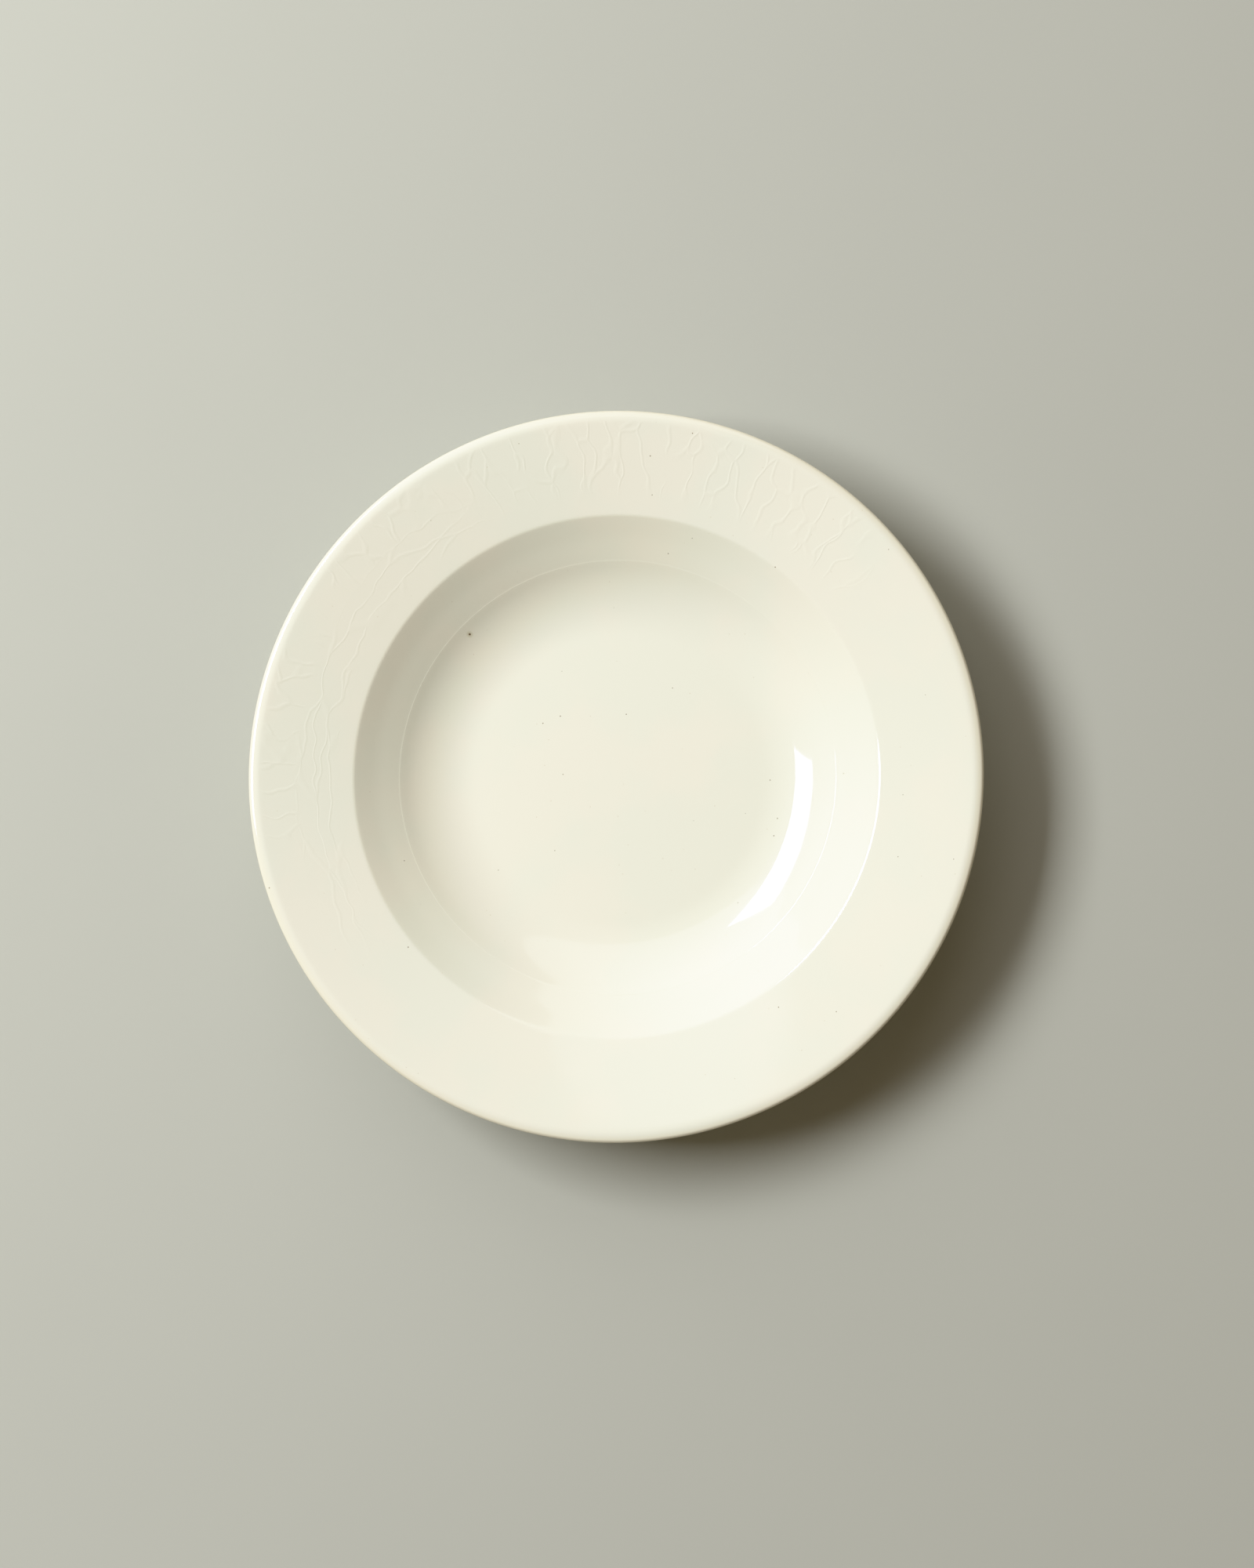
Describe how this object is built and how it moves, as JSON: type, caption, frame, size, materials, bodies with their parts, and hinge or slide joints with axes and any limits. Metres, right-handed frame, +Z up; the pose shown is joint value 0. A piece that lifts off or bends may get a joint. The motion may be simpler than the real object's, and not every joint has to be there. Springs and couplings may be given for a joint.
{
  "type": "deep plate",
  "caption": "Round deep plate with a broad sloping rim, a curved well and a turned foot ring, in ivory glazed earthenware, for soup and other wet food.",
  "frame": {"origin": "centre of the foot ring on the surface that the plate stands on", "axes": "+Z up along the axis that the plate was turned on; +X and +Y are any two square directions across it"},
  "size_m": [0.24, 0.24, 0.0357],
  "materials": {
    "clay": "bare buff fired clay, matt and slightly gritty, seen only on the standing ring",
    "glaze": "glossy ivory glaze, finely crazed on the rim",
    "recess_glaze": "the same ivory glaze, pooled inside the foot ring"
  },
  "bodies": {
    "root": {"clay_body": "clay", "glaze_coat": "glaze", "foot_recess_glaze": "recess_glaze"}
  },
  "joints": []
}
